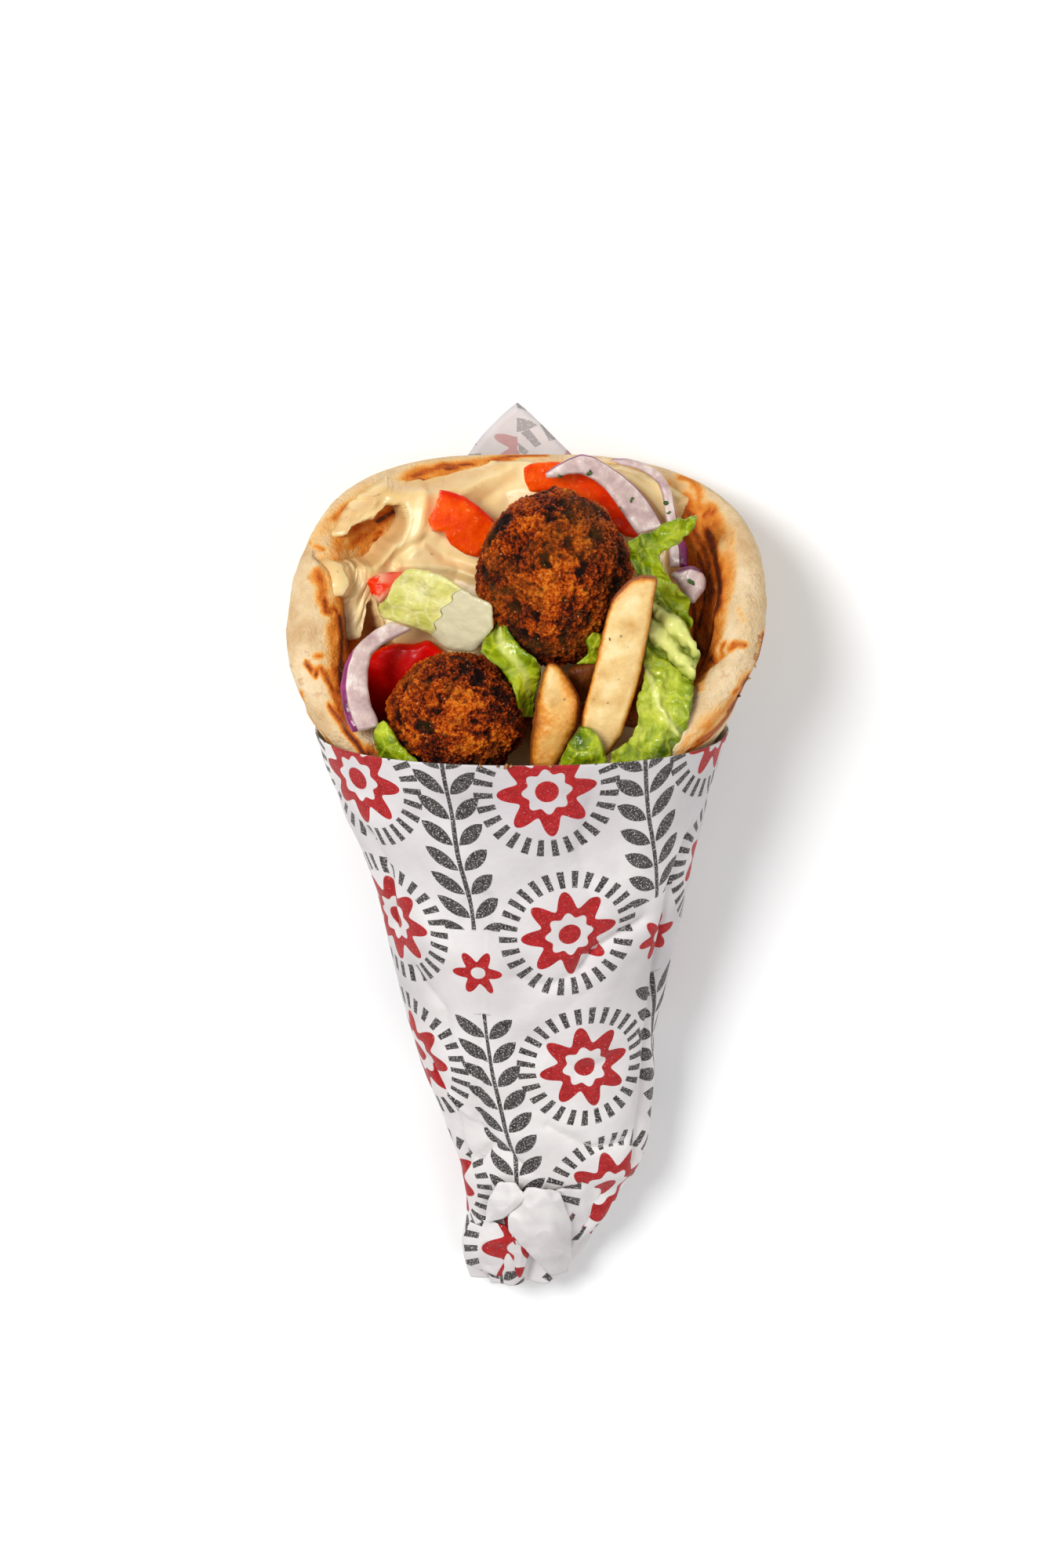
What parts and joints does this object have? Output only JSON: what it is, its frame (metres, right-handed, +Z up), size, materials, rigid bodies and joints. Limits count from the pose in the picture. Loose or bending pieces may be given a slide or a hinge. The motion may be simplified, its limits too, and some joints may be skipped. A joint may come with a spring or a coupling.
{
  "type": "falafel pita wrap",
  "caption": "Flatbread folded round hummus, fried chickpea balls, salad and chips, in a printed paper cone, lying with its filling up.",
  "frame": {"origin": "centre of the bounding box at the bottom, where the wrap lies on the table", "axes": "+Z up out of the filling, -Y from the twisted paper tail to the open mouth, +X across the wrap"},
  "size_m": [0.1076, 0.2188, 0.068],
  "materials": {
    "paper": "thin greaseproof paper, printed in black and dark red",
    "bread": "soft floury flatbread with toasted patches",
    "hummus": "smooth moist cream",
    "falafel": "rough fried crust",
    "fry": "fried potato, slightly oily",
    "tomato": "wet flesh and skin",
    "onion": "wet, slightly clear, with a purple rim",
    "lettuce": "glossy leaf",
    "lettuce_heart": "pale crisp leaf with a whitish rib"
  },
  "bodies": {
    "root": {"paper_wrap": "paper", "pita": "bread", "hummus": "hummus", "falafel_large": "falafel", "falafel_small": "falafel", "fry_long": "fry", "fry_short": "fry", "fry_behind": "fry", "tomato_back": "tomato", "tomato_right": "tomato", "tomato_left": "tomato", "tomato_front": "tomato", "onion_back": "onion", "onion_right": "onion", "onion_left": "onion", "onion_bit": "onion", "lettuce_heart": "lettuce_heart", "lettuce_stem": "lettuce", "lettuce_left": "lettuce", "lettuce_top_right": "lettuce", "lettuce_right": "lettuce", "lettuce_front": "lettuce", "lettuce_mid": "lettuce"}
  },
  "joints": []
}
